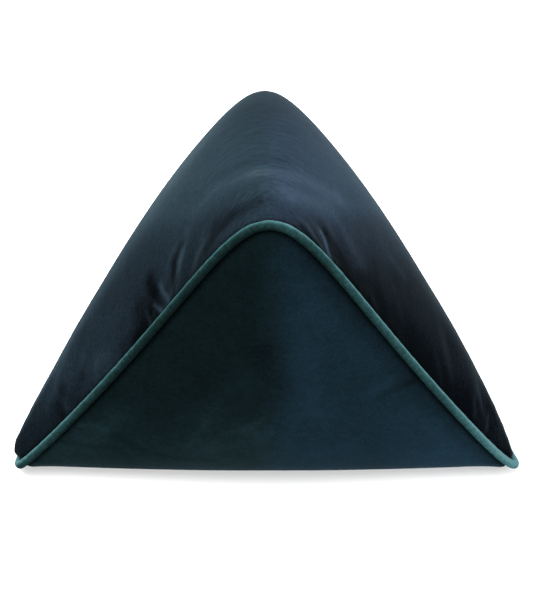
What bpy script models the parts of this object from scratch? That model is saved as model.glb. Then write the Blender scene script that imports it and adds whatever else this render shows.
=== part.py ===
"""Pyramid pillow: a stuffed four-cornered velvet pillow with one piped seam.

Two equal rhombic panels are sewn together a quarter turn out of step.  The upper
panel folds over the ridge, which runs from the front peak to the back corner.  The
lower panel folds over the front bottom edge, which runs from the left corner to the
right one.  The seam passes all four corners, and a round welt is caught in it.

Panel frame: X runs along the front bottom edge, W along the ridge from front to back,
and N from the front bottom edge up to the ridge.  The pillow is turned at the end so
that the back half of the lower panel lies on the floor.

Metres, +Z up.  The origin is at the middle of the footprint, on the floor.
"""
import math

import bmesh
import bpy
from mathutils import Matrix, Vector

# Driving sizes
HALF_SPAN = 0.2260        # from the middle of the front bottom edge to a corner
HALF_RIDGE = 0.2225       # from the middle of the ridge to one of its ends
RISE = 0.296              # from the front bottom edge to the ridge, along N
BASE_SAG = 0.012          # how far the base hangs below its seams before the floor stops it
FLOOR_EASE = 0.004        # the base rounds into its flat over this height
FLOOR_RISE = 0.01         # slope of the base outside the triangle that it stands on

# Seam outline, as shares of the half span
CORNER_EASE = 0.20        # how softly the seam turns at the corners
DRAW_IN = 0.80            # how far the sides pull in between the corners
PEAK_LEAN = 0.004         # the front peak leans to the right

# Crown of the two panels: rise of the fold's middle, then the shape of its arch
UPPER_CROWN = 0.11
UPPER_SHOULDER = 1.39
UPPER_FALL = 1.11
UPPER_TOP_EASE = 0.090
LOWER_CROWN = 0.020
LOWER_SHOULDER = 1.35
LOWER_FALL = 1.08
LOWER_TOP_EASE = 0.055
FULLNESS = 0.75           # 0.5 is a half ellipse from seam to seam, 1 a parabola
LEFT_PUFF = 0.060         # the filling pushes the cloth out beside the bottom corners
RIGHT_PUFF = 0.060
LOWER_PUFF = 0.030        # and, less, beside the ridge's ends
PUFF_POWER = 3.0
LEFT_FADE = 150.0         # the puff dies away again towards the very corner
RIGHT_FADE = 12.0
LOWER_FADE = 60.0
RIGHT_DRAW = 0.003        # the welt draws the right bottom corner out to a point
DRAW_POWER = 30.0
BACK_TUCK = 0.008         # the back corner's seam is tucked under by the pillow's weight
TUCK_POWER = 6.0

# Welt and the groove that it is sewn into
WELT_RADIUS = 0.004
WELT_GAP = 0.0009
WELT_OUT = 0.0025         # from the seam line out to the welt's centre
WELT_LIFT = 0.5           # how far the welt turns towards the nearer fold at a corner
GROOVE_HALF_ANGLE = math.radians(70.0)
GROOVE_STEPS = 5
GROOVE_BLEND = 7.0        # power with which the groove's offset fades into the panel

# Mesh density
PANEL_STEPS = 34          # cells along each side of a panel
END_CROWDING = 0.75       # how far the cells crowd towards the seam's corners
UPPER_CROWDING = 0.85     # and towards the seam
LOWER_CROWDING = 0.50
WELT_RESOLUTION = 2       # gives the welt eight sides

# Folds pressed into the panels, as soft troughs beside the seam.  x and w are shares of
# the half span and the half ridge, depth and width are lengths.
FOLD_COLUMNS = ("panel", "x0", "w0", "x1", "w1", "depth", "width")
FOLDS = (
    ("upper", -0.31, -0.50, -0.41, -0.62, 0.0060, 0.012),
    ("upper", -0.25, -0.66, -0.29, -0.74, 0.0035, 0.009),
    ("upper", -0.60, -0.28, -0.64, -0.38, 0.0040, 0.012),
    ("upper", -0.71, -0.17, -0.75, -0.29, 0.0030, 0.011),
    ("upper", -0.82, -0.12, -0.85, -0.18, 0.0035, 0.011),
    ("upper", 0.18, -0.76, 0.23, -0.84, 0.0035, 0.009),
    ("upper", 0.24, -0.66, 0.28, -0.76, 0.0030, 0.009),
    ("upper", 0.70, -0.17, 0.75, -0.28, 0.0030, 0.011),
    ("upper", 0.86, -0.10, 0.91, -0.15, 0.0050, 0.012),
    ("upper", -0.30, 0.52, -0.38, 0.62, 0.0040, 0.012),
    ("upper", -0.62, 0.28, -0.66, 0.37, 0.0030, 0.011),
    ("upper", 0.35, 0.50, 0.42, 0.59, 0.0045, 0.012),
    ("upper", 0.64, 0.24, 0.68, 0.34, 0.0035, 0.011),
    ("lower", 0.53, -0.52, 0.45, -0.48, 0.0025, 0.012),
    ("lower", -0.82, -0.18, -0.61, -0.32, 0.0025, 0.012),
    ("lower", -0.34, -0.32, -0.19, -0.48, 0.0020, 0.016),
)
FOLD_END = 0.35           # share of a fold's depth that is left at its two ends

VELVET_COLOR = (0.0120, 0.0300, 0.0420, 1.0)
WELT_COLOR = (0.0300, 0.1150, 0.1200, 1.0)
VELVET_ROUGHNESS = 0.85
VELVET_SHEEN = 0.5

CORNER_REACH = math.sqrt(1.0 + CORNER_EASE ** 2) - CORNER_EASE
TINY = 1e-6


def clear_scene():
    for item in list(bpy.data.objects):
        bpy.data.objects.remove(item, do_unlink=True)


def velvet_material(name, color):
    material = bpy.data.materials.new(name)
    material.use_nodes = True
    shader = material.node_tree.nodes["Principled BSDF"]
    shader.inputs["Base Color"].default_value = color
    shader.inputs["Roughness"].default_value = VELVET_ROUGHNESS
    shader.inputs["Metallic"].default_value = 0.0
    shader.inputs["Sheen Weight"].default_value = VELVET_SHEEN
    material.diffuse_color = color
    return material


# --- Seam outline ---------------------------------------------------------------

def flatten_tip(share):
    """Length along one axis, shortened near zero so that the corner turns softly."""
    return math.sqrt(share ** 2 + CORNER_EASE ** 2) - CORNER_EASE


def restore_tip(length):
    """The inverse of flatten_tip."""
    return math.sqrt(max((length + CORNER_EASE) ** 2 - CORNER_EASE ** 2, 0.0))


def facing_length(length):
    """The other axis's length at the same point of the drawn-in seam."""
    return max(CORNER_REACH - length, 0.0) / (1.0 + DRAW_IN * length / CORNER_REACH)


def seam_span(share):
    """How far the seam lies from one axis, at this share along it."""
    return restore_tip(facing_length(flatten_tip(share)))


def seam_point(turn):
    """Seam shares |x| and |w| at a turn from -1, a bottom corner, to +1, a ridge end."""
    half = 2.0 + DRAW_IN * turn
    root = math.sqrt(half ** 2 + 4.0 * DRAW_IN * (1.0 - turn))
    across = CORNER_REACH * (root - half) / (2.0 * DRAW_IN)
    return restore_tip(max(across, 0.0)), restore_tip(max(across + turn * CORNER_REACH, 0.0))


def seam_height(share, along_ridge):
    """Height share of the seam, from 0 at a bottom corner to 1 at a ridge end."""
    near = flatten_tip(share)
    far = facing_length(near)
    lead = near - far if along_ridge else far - near
    return 0.5 * (1.0 + lead / CORNER_REACH)


def seam_shares(p, q):
    """Signed shares x and w of the seam point that a grid point looks out to."""
    reach = max(abs(p), abs(q), TINY)
    side_x = (p + q) / (2.0 * reach)
    side_w = (p - q) / (2.0 * reach)
    turn = abs(side_w) - abs(side_x)
    turn += END_CROWDING * (math.sin(turn * math.pi / 2.0) - turn)
    x, w = seam_point(turn)
    return math.copysign(x, side_x), math.copysign(w, side_w)


# --- Panels ---------------------------------------------------------------------

def arch(share, crown, shoulder, fall, top_ease):
    """Section of a panel across the middle of its fold: 1 + crown falling to 0."""
    eased = math.hypot(share, top_ease) - top_ease
    eased /= math.hypot(1.0, top_ease) - top_ease
    return (1.0 + crown) * (1.0 - min(eased, 1.0) ** shoulder) ** (1.0 / fall)


def upper_section(share):
    return arch(share, UPPER_CROWN, UPPER_SHOULDER, UPPER_FALL, UPPER_TOP_EASE)


def lower_section(share):
    return 1.0 - arch(share, LOWER_CROWN, LOWER_SHOULDER, LOWER_FALL, LOWER_TOP_EASE)


def swell(share, across, at_seam):
    """1 on the fold's plane, falling to 0 at the seam."""
    if at_seam:
        return 0.0
    part = min(across / max(seam_span(share), TINY), 1.0)
    return (1.0 - part ** 2) ** FULLNESS


def panel_point(p, q, upper):
    """Panel frame point for the grid coordinates p and q, each from -1 to 1."""
    reach = max(abs(p), abs(q))
    at_seam = reach > 1.0 - TINY
    crowding = UPPER_CROWDING if upper else LOWER_CROWDING
    inward = reach + crowding * (math.sin(reach * math.pi / 2.0) - reach)
    seam_x, seam_w = seam_shares(p, q)
    x = inward * seam_x
    w = inward * seam_w
    along = abs(x) if upper else abs(w)
    across = abs(w) if upper else abs(x)
    full = swell(along, across, at_seam)
    rim = seam_height(along, not upper)
    section = upper_section(along) if upper else lower_section(along)
    n = rim + (section - rim) * full
    puff, fade = (LEFT_PUFF, LEFT_FADE) if x < 0.0 else (RIGHT_PUFF, RIGHT_FADE)
    if not upper:
        puff, fade = LOWER_PUFF, LOWER_FADE
    puff = 1.0 + puff * full * along ** PUFF_POWER * (1.0 - along ** fade)
    if upper:
        x *= puff
    else:
        w *= puff
    return Vector((HALF_SPAN * x, HALF_RIDGE * w, RISE * n))


def lean(point):
    """Shift the front peak sideways, and draw the right bottom corner out."""
    front = min(max(-point.y / HALF_RIDGE, 0.0), 1.0)
    draw = RIGHT_DRAW * max(point.x / HALF_SPAN, 0.0) ** DRAW_POWER
    return point + Vector((PEAK_LEAN * front * (2.0 - front) + draw, 0.0, 0.0))


# --- Seam frame, welt centre and groove -----------------------------------------

def rim_parameter(index, count):
    """Grid coordinates p and q of a point on the rim, counted round the square."""
    side, step = divmod(index, count)
    run = -1.0 + 2.0 * step / count
    return ((run, -1.0), (1.0, run), (-run, 1.0), (-1.0, -run))[side]


def rim_point(index, count):
    p, q = rim_parameter(index % (4 * count), count)
    return panel_point(p, q, True)


def floor_lift(centre):
    """How far the floor pushes the seam up where its welt would pass below the floor."""
    clear = (rest_matrix() @ centre).z + BASE_SAG - WELT_RADIUS - WELT_GAP
    if clear >= FLOOR_EASE:
        return 0.0
    if clear <= -FLOOR_EASE:
        return -clear
    return (clear + FLOOR_EASE) ** 2 / (4.0 * FLOOR_EASE) - clear


def seam_frame(index, count):
    """Rim point, seam point, outward direction and the direction towards the upper panel."""
    here = rim_point(index, count)
    tangent = (rim_point(index + 1, count) - rim_point(index - 1, count)).normalized()
    share_x = here.x / HALF_SPAN
    share_w = here.y / HALF_RIDGE
    radial = Vector((here.x, here.y, 0.0)).normalized()
    radial.z = WELT_LIFT * (share_w ** 2 - share_x ** 2)
    outward = (radial - tangent * radial.dot(tangent)).normalized()
    upward = tangent.cross(outward).normalized()
    if upward.z < 0.0:
        upward.negate()
    tuck = BACK_TUCK * max(share_w, 0.0) ** TUCK_POWER
    seam = here - Vector((0.0, 0.0, tuck))
    up_from_floor = rest_matrix().inverted() @ Vector((0.0, 0.0, 1.0))
    seam += up_from_floor * floor_lift(seam + outward * WELT_OUT)
    return here, seam, outward, upward


def groove_point(frame, angle):
    """Point of the groove's arc: the angle is 0 at its floor and rises to the upper panel."""
    _, seam, outward, upward = frame
    centre = seam + outward * WELT_OUT
    radius = WELT_RADIUS + WELT_GAP
    return centre - outward * (radius * math.cos(angle)) + upward * (radius * math.sin(angle))


# --- Turning the pillow onto its base --------------------------------------------

def rest_matrix():
    """The turn that lays the plane of the two bottom corners and the back corner level."""
    tilt = math.atan2(HALF_RIDGE, RISE)
    rows = (
        (1.0, 0.0, 0.0, 0.0),
        (0.0, math.sin(tilt), math.cos(tilt), 0.0),
        (0.0, -math.cos(tilt), math.sin(tilt), 0.0),
        (0.0, 0.0, 0.0, 1.0),
    )
    return Matrix(rows)


def settle(height):
    """Height above the floor once the floor has pressed the base flat."""
    above = height + BASE_SAG
    if above <= -FLOOR_EASE:
        return 0.0
    if above >= FLOOR_EASE:
        return above
    return (above + FLOOR_EASE) ** 2 / (4.0 * FLOOR_EASE)


def outside_side(point, start, end):
    """How far a point lies to the right of the line from start to end, seen from above."""
    run = (end - start).to_2d()
    return (point - start).to_2d().cross(run) / run.length


def stand_on_triangle(mesh):
    """Raise the rim of the flat base a little, so that it stands on its three far corners."""
    flat = [vertex for vertex in mesh.verts if vertex.co.z == 0.0]
    left = min(flat, key=lambda vertex: vertex.co.x).co.copy()
    right = max(flat, key=lambda vertex: vertex.co.x).co.copy()
    back = max(flat, key=lambda vertex: vertex.co.y).co.copy()
    for vertex in flat:
        sides = ((left, right), (right, back), (back, left))
        outside = max(outside_side(vertex.co, start, end) for start, end in sides)
        vertex.co.z = FLOOR_RISE * outside if outside > TINY else 0.0


# --- Pillow body ------------------------------------------------------------------

def grid_vertices(mesh, upper, frames):
    """One panel's grid of vertices, its rim moved to the edge of the groove."""
    rows = []
    side = 1.0 if upper else -1.0
    for i in range(PANEL_STEPS + 1):
        row = []
        for j in range(PANEL_STEPS + 1):
            p = -1.0 + 2.0 * i / PANEL_STEPS
            q = -1.0 + 2.0 * j / PANEL_STEPS
            point = panel_point(p, q, upper)
            reach = max(abs(p), abs(q))
            if reach > 0.0:
                frame = frame_between(p / reach, q / reach, frames)
                edge = groove_point(frame, side * GROOVE_HALF_ANGLE)
                point += (edge - frame[0]) * reach ** GROOVE_BLEND
            row.append(mesh.verts.new(lean(point)))
        rows.append(row)
    return rows


def frame_between(p, q, frames):
    """Seam frame at the rim point p and q, between the two frames nearest to it."""
    if q <= -1.0 + TINY:
        side = (p + 1.0) / 2.0
    elif p >= 1.0 - TINY:
        side = 1.0 + (q + 1.0) / 2.0
    elif q >= 1.0 - TINY:
        side = 2.0 + (1.0 - p) / 2.0
    else:
        side = 3.0 + (1.0 - q) / 2.0
    position = side * PANEL_STEPS
    low = math.floor(position + TINY)
    part = max(position - low, 0.0)
    first = frames[low % len(frames)]
    second = frames[(low + 1) % len(frames)]
    return tuple(a.lerp(b, part) for a, b in zip(first, second))


def grid_faces(mesh, rows, upper):
    """Two triangles for each cell, split along the panel's own fold."""
    for i in range(PANEL_STEPS):
        for j in range(PANEL_STEPS):
            a, b = rows[i][j], rows[i + 1][j]
            c, d = rows[i + 1][j + 1], rows[i][j + 1]
            if upper:
                mesh.faces.new((a, b, d))
                mesh.faces.new((b, c, d))
            else:
                mesh.faces.new((a, c, b))
                mesh.faces.new((a, d, c))


def rim_loop(rows):
    """The grid's rim vertices in the order of rim_parameter."""
    last = PANEL_STEPS
    loop = [rows[i][0] for i in range(last)]
    loop += [rows[last][j] for j in range(last)]
    loop += [rows[last - i][last] for i in range(last)]
    loop += [rows[0][last - j] for j in range(last)]
    return loop


def groove_loops(mesh, frames):
    """Rings of vertices between the two panels' rims, along the groove's arc."""
    loops = []
    for step in range(1, GROOVE_STEPS):
        angle = GROOVE_HALF_ANGLE * (1.0 - 2.0 * step / GROOVE_STEPS)
        loops.append([mesh.verts.new(lean(groove_point(frame, angle))) for frame in frames])
    return loops


def bridge(mesh, upper_loop, lower_loop):
    count = len(upper_loop)
    for k in range(count):
        following = (k + 1) % count
        mesh.faces.new((upper_loop[k], lower_loop[k], lower_loop[following], upper_loop[following]))


def surface_place(rows, share_x, share_w):
    """Place of the panel vertex nearest to these shares of the half span and half ridge."""
    target = Vector((share_x * HALF_SPAN, share_w * HALF_RIDGE))
    vertices = [vertex for row in rows for vertex in row]
    return min(vertices, key=lambda vertex: (vertex.co.xy - target).length_squared).co.copy()


def press_fold(rows, fold, moves):
    """Add one fold's depth to the moves of the panel's vertices near its line."""
    start = surface_place(rows, fold["x0"], fold["w0"])
    run = surface_place(rows, fold["x1"], fold["w1"]) - start
    inner_rows = [row[1:-1] for row in rows[1:-1]]
    for vertex in (vertex for row in inner_rows for vertex in row):
        along = min(max((vertex.co - start).dot(run) / run.length_squared, 0.0), 1.0)
        away = (vertex.co - start - run * along).length / fold["width"]
        taper = FOLD_END + (1.0 - FOLD_END) * math.sin(math.pi * along)
        moves[vertex] = moves.get(vertex, 0.0) + fold["depth"] * taper * math.exp(-away ** 2)


def press_folds(mesh, panels):
    mesh.normal_update()
    moves = {}
    for entry in FOLDS:
        fold = dict(zip(FOLD_COLUMNS, entry))
        press_fold(panels[fold["panel"]], fold, moves)
    for vertex, depth in moves.items():
        vertex.co -= vertex.normal * depth


def make_pillow(frames):
    mesh = bmesh.new()
    upper_rows = grid_vertices(mesh, True, frames)
    lower_rows = grid_vertices(mesh, False, frames)
    grid_faces(mesh, upper_rows, True)
    grid_faces(mesh, lower_rows, False)
    upper_rim = rim_loop(upper_rows)
    lower_rim = rim_loop(lower_rows)
    loops = [upper_rim] + groove_loops(mesh, frames) + [lower_rim]
    for upper_loop, lower_loop in zip(loops, loops[1:]):
        bridge(mesh, upper_loop, lower_loop)
    bmesh.ops.recalc_face_normals(mesh, faces=mesh.faces)
    press_folds(mesh, {"upper": upper_rows, "lower": lower_rows})
    bmesh.ops.transform(mesh, matrix=rest_matrix(), verts=mesh.verts)
    for vertex in mesh.verts:
        vertex.co.z = settle(vertex.co.z)
    stand_on_triangle(mesh)
    return mesh


# --- Welt -------------------------------------------------------------------------

def welt_centres(frames):
    turn = rest_matrix()
    centres = []
    for _, seam, outward, _ in frames:
        centre = turn @ lean(seam + outward * WELT_OUT)
        centres.append(centre + Vector((0.0, 0.0, BASE_SAG)))
    return centres


def make_welt(centres, shift):
    curve = bpy.data.curves.new("welt", "CURVE")
    curve.dimensions = "3D"
    curve.bevel_depth = WELT_RADIUS
    curve.bevel_resolution = WELT_RESOLUTION
    spline = curve.splines.new("POLY")
    spline.points.add(len(centres) - 1)
    for place, centre in zip(spline.points, centres):
        place.co = (*(centre + shift), 1.0)
    spline.use_cyclic_u = True
    curve.materials.append(velvet_material("welt_velvet", WELT_COLOR))
    welt = bpy.data.objects.new("welt", curve)
    bpy.context.collection.objects.link(welt)
    return welt


def main():
    clear_scene()
    frames = [seam_frame(index, PANEL_STEPS) for index in range(4 * PANEL_STEPS)]
    mesh = make_pillow(frames)
    centres = welt_centres(frames)
    left = min(vertex.co.x for vertex in mesh.verts)
    right = max(centre.x for centre in centres) + WELT_RADIUS
    front = min(vertex.co.y for vertex in mesh.verts)
    back = max(centre.y for centre in centres) + WELT_RADIUS
    shift = Vector((-(left + right) / 2.0, -(front + back) / 2.0, 0.0))
    bmesh.ops.translate(mesh, vec=shift, verts=mesh.verts)
    data = bpy.data.meshes.new("pillow")
    mesh.to_mesh(data)
    mesh.free()
    data.shade_smooth()
    data.materials.append(velvet_material("pillow_velvet", VELVET_COLOR))
    bpy.context.collection.objects.link(bpy.data.objects.new("pillow", data))
    make_welt(centres, shift)


main()
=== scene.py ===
"""Pyramid pillow: the stuffed velvet body, its piped welt and a plain studio.

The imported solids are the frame.  The body is remeshed from its solid, creased beside
the seam, filled by a cloth simulation and fitted round the welt.  The welt follows the
centre line of its own solid.  Metres, +Z up.
"""
import math

import bmesh
import bpy
import numpy as np
from bpy.props import FloatProperty, FloatVectorProperty, PointerProperty
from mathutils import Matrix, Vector
from mathutils.bvhtree import BVHTree
from mathutils.kdtree import KDTree


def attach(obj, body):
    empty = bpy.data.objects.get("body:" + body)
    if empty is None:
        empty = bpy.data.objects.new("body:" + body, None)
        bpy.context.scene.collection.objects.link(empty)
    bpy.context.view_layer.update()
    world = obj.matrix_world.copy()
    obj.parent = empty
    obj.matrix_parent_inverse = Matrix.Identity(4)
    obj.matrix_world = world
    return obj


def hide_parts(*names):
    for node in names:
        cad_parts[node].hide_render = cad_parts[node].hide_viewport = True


bl_info = {
    "name": "Pyramid Pillow",
    "version": (1, 0, 0),
    "blender": (4, 5, 0),
    "location": "3D View > Sidebar > Pillow",
    "description": "Makes a velvet pyramid pillow with a ribbed welt, on a plain floor",
    "category": "Object",
}

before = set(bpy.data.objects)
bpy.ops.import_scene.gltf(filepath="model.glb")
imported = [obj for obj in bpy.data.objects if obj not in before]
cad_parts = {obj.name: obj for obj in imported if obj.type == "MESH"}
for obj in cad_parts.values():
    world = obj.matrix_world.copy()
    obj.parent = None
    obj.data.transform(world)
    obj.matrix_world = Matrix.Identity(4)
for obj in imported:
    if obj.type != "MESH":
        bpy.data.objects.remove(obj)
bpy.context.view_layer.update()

BODY_NODE = "pillow"
WELT_NODE = "welt"
MERGE = 1e-5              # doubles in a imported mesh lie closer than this
TINY = 1e-9               # keeps a division by a length away from zero

# Welt
WELT_RADIUS = 0.004       # as its solid has it
RING_REACH = 0.0015       # points of one ring's centre lie within this of each other
SPLINE_STEP = 0.05        # share of the way from one packed ring to the next
WELT_SIDES = 16
SLACK_WAVES = ((61, 0.4), (97, 1.9), (149, 3.1))  # waves round the loop, and their shift
# Painted light and shade on the welt: its tone across, from the lower panel's side to the
# upper one's, lighter on the upper side as if lit from above, and a painted lightening
# added from the left corner to the right one
WELT_SHADE_ACROSS = ((-1.0, 0.12), (-0.7, 0.27), (-0.2, 0.32), (0.1, 0.37), (0.35, 0.58),
               (0.7, 0.74), (0.95, 0.88))
WELT_PAINTED_LIGHT = ((-0.225, 0.16), (-0.19, 0.18), (-0.15, 0.11), (-0.125, 0.08), (-0.095, 0.02),
            (-0.066, 0.02), (-0.03, 0.04), (0.0, 0.09), (0.02, 0.26), (0.042, 0.18),
            (0.065, 0.27), (0.13, 0.31), (0.155, 0.31), (0.18, 0.44), (0.225, 0.60))

# Body
RISE = 0.296                  # from the front bottom edge to the ridge
SEAM_PIN = (0.006, 0.013)     # cloth is held fast nearer than the first, free past the second
EASE_REACH = (0.020, 0.070)   # extra cloth beside the seam dies away between these
CALM_REACH, CALM_ROUNDS = (0.016, 0.055), 30  # the swelling is even away from the seam
CLOTH_FRAMES = 20
CLOTH_QUALITY = 5
CHANNEL_REACH = 0.012         # the cloth is smoothed beside the welt, out to here
CHANNEL_WEIGHT, CHANNEL_ROUNDS = 0.5, 6

# Creases pressed into the cloth beside the seam: a depth (a ridge has it negative), a
# half width, and the line that the crease follows
CREASES = (
    (-0.0022, 0.0090, ((-0.0727, -0.0554, 0.2484), (-0.0794, -0.0786, 0.2433),
                       (-0.0879, -0.0971, 0.2349))),
    (-0.0003, 0.0060, ((-0.0645, -0.0546, 0.2686), (-0.0684, -0.0767, 0.2688),
                       (-0.0749, -0.0995, 0.2635))),
    (-0.0003, 0.0055, ((-0.0836, -0.0886, 0.2385), (-0.0878, -0.0992, 0.2357),
                       (-0.0948, -0.1088, 0.2272))),
    (0.0019, 0.0065, ((-0.0952, -0.0904, 0.2251), (-0.0968, -0.1041, 0.2236),
                      (-0.1030, -0.1137, 0.2144))),
    (0.0008, 0.0060, ((-0.0485, -0.0618, 0.3011), (-0.0562, -0.0700, 0.2897),
                      (-0.0631, -0.0795, 0.2770))),
    (0.0008, 0.0070, ((-0.1175, -0.0955, 0.1910), (-0.1229, -0.1093, 0.1832),
                      (-0.1305, -0.1198, 0.1700))),
    (0.0011, 0.0065, ((-0.1446, -0.1021, 0.1478), (-0.1480, -0.1210, 0.1436),
                      (-0.1555, -0.1345, 0.1332))),
    (0.0012, 0.0065, ((-0.1645, -0.1043, 0.1188), (-0.1698, -0.1264, 0.1119),
                      (-0.1754, -0.1429, 0.1044))),
    (-0.0014, 0.0080, ((-0.1844, -0.1203, 0.0906), (-0.1890, -0.1355, 0.0848),
                       (-0.1935, -0.1491, 0.0799))),
    (0.0010, 0.0055, ((-0.2082, -0.1423, 0.0618), (-0.2077, -0.1565, 0.0620),
                      (-0.2099, -0.1686, 0.0544))),
    (0.0005, 0.0055, ((0.0439, -0.0559, 0.3136), (0.0495, -0.0677, 0.3126),
                      (0.0542, -0.0837, 0.3139))),
    (0.0004, 0.0055, ((0.0543, -0.0470, 0.2939), (0.0609, -0.0589, 0.2881),
                      (0.0667, -0.0717, 0.2847))),
    (0.0007, 0.0055, ((0.0338, -0.0543, 0.3326), (0.0404, -0.0590, 0.3220),
                      (0.0436, -0.0675, 0.3216))),
    (0.0008, 0.0060, ((0.0904, -0.0886, 0.2467), (0.0957, -0.0984, 0.2388),
                      (0.0992, -0.1088, 0.2327))),
    (0.0008, 0.0060, ((0.1160, -0.1103, 0.2036), (0.1206, -0.1202, 0.1949),
                      (0.1245, -0.1280, 0.1852))),
    (0.0012, 0.0060, ((0.1508, -0.1131, 0.1478), (0.1564, -0.1288, 0.1390),
                      (0.1602, -0.1411, 0.1309))),
    (0.0014, 0.0060, ((0.1884, -0.1377, 0.0926), (0.1924, -0.1487, 0.0851),
                      (0.1955, -0.1595, 0.0770))),
    (0.0015, 0.0055, ((0.2033, -0.1471, 0.0658), (0.2078, -0.1592, 0.0618),
                      (0.2130, -0.1682, 0.0528))),
    (0.0011, 0.0055, ((0.2170, -0.1602, 0.0511), (0.2203, -0.1693, 0.0427),
                      (0.2227, -0.1750, 0.0354))),
    (0.0008, 0.0070, ((0.1208, -0.1260, 0.1906), (0.1131, -0.1370, 0.1853),
                      (0.1033, -0.1461, 0.1736))),
    (0.0008, 0.0070, ((-0.1829, -0.1785, 0.0675), (-0.1638, -0.1732, 0.0829),
                      (-0.1418, -0.1692, 0.1029))),
    (0.0006, 0.0080, ((-0.0751, -0.1798, 0.0978), (-0.0595, -0.1752, 0.1152),
                      (-0.0439, -0.1695, 0.1413))),
)
CREASE_END = 0.012        # a crease fades out over this length at its two ends

# Tone of the pile: about a hundredth of the brightness that the cloth shows.  On the
# upper panel it holds painted sheen, set along a way up the cloth from the front corners
# to the ridge, differently on the left and the right flank: lighter towards the ridge.
SHEEN_WAY = (0.0, 0.95, 0.31)
LEFT_FLANK_SHEEN = ((-0.15, 0.33), (-0.11, 0.36), (-0.09, 0.44), (-0.07, 0.46), (-0.055, 0.44),
              (-0.02, 0.38), (0.0, 0.37), (0.03, 0.41), (0.045, 0.48), (0.058, 0.57),
              (0.09, 0.65), (0.12, 0.61), (0.155, 0.51))
RIGHT_FLANK_SHEEN = ((-0.15, 0.27), (-0.11, 0.21), (-0.08, 0.23), (-0.04, 0.22), (0.0, 0.24),
               (0.015, 0.31), (0.03, 0.39), (0.048, 0.47), (0.065, 0.64), (0.09, 0.67),
               (0.12, 0.61), (0.155, 0.51))
SIDES_MEET = (-0.012, 0.022)  # the left look gives way to the right between these
FLANK_START = (0.020, 0.070)  # streaks fall down the cloth past this far from the middle
SEAM_SHADE_REACH = (0.014, 0.050)    # painted shade: the flanks are darker beside the seam, out to here, but not above here, along the way up the cloth
SEAM_SHADE_TOP = (0.015, 0.050)     # but not above here, along the way of the brush
LEFT_SEAM_SHADE, RIGHT_SEAM_SHADE = 0.07, 0.14
RIM_STEEPNESS = (0.36, 0.50)           # painted sheen lightens the rim where the cloth is this steep, but not where it is steeper than this, nor this near to the seam
RIM_BACK = (0.12, 0.34)      # but not where it is steeper than this,
RIM_REACH = (0.012, 0.040)   # nor this near to the seam
# painted sheen on the rim: lighter on the left, a little darker on the right
LEFT_RIM_SHEEN, RIGHT_RIM_SHEEN = 0.23, -0.02

# The lower panel has one tone on its left half and another on its right
LOWER_LEFT, LOWER_RIGHT = 0.235, 0.395
LOWER_MEET = (-0.018, 0.034)  # one gives way to the other between these
FRONT_SHADE_REACH = (0.006, 0.028)   # painted shade: the right half is darker beside the seam, out to here
FRONT_SEAM_SHADE = 0.10
FOOT = (0.060, 0.150)         # the front is lighter near the floor, below these heights,
# by this much from left to right
FOOT_LIFT = ((-0.18, 0.12), (-0.15, 0.08), (-0.11, 0.09), (-0.06, 0.13), (0.0, 0.13),
             (0.03, 0.03), (0.10, 0.02), (0.16, 0.10))

# Painted shade: both panels are darker where the cloth tucks in beside the welt
TUCK_SHADE_PLACE, TUCK_SHADE_WIDTH = 0.0046, 0.0028   # from the welt's centre, and a half width
UPPER_TUCK_SHADE, LOWER_TUCK_SHADE = 0.62, 0.42
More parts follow.
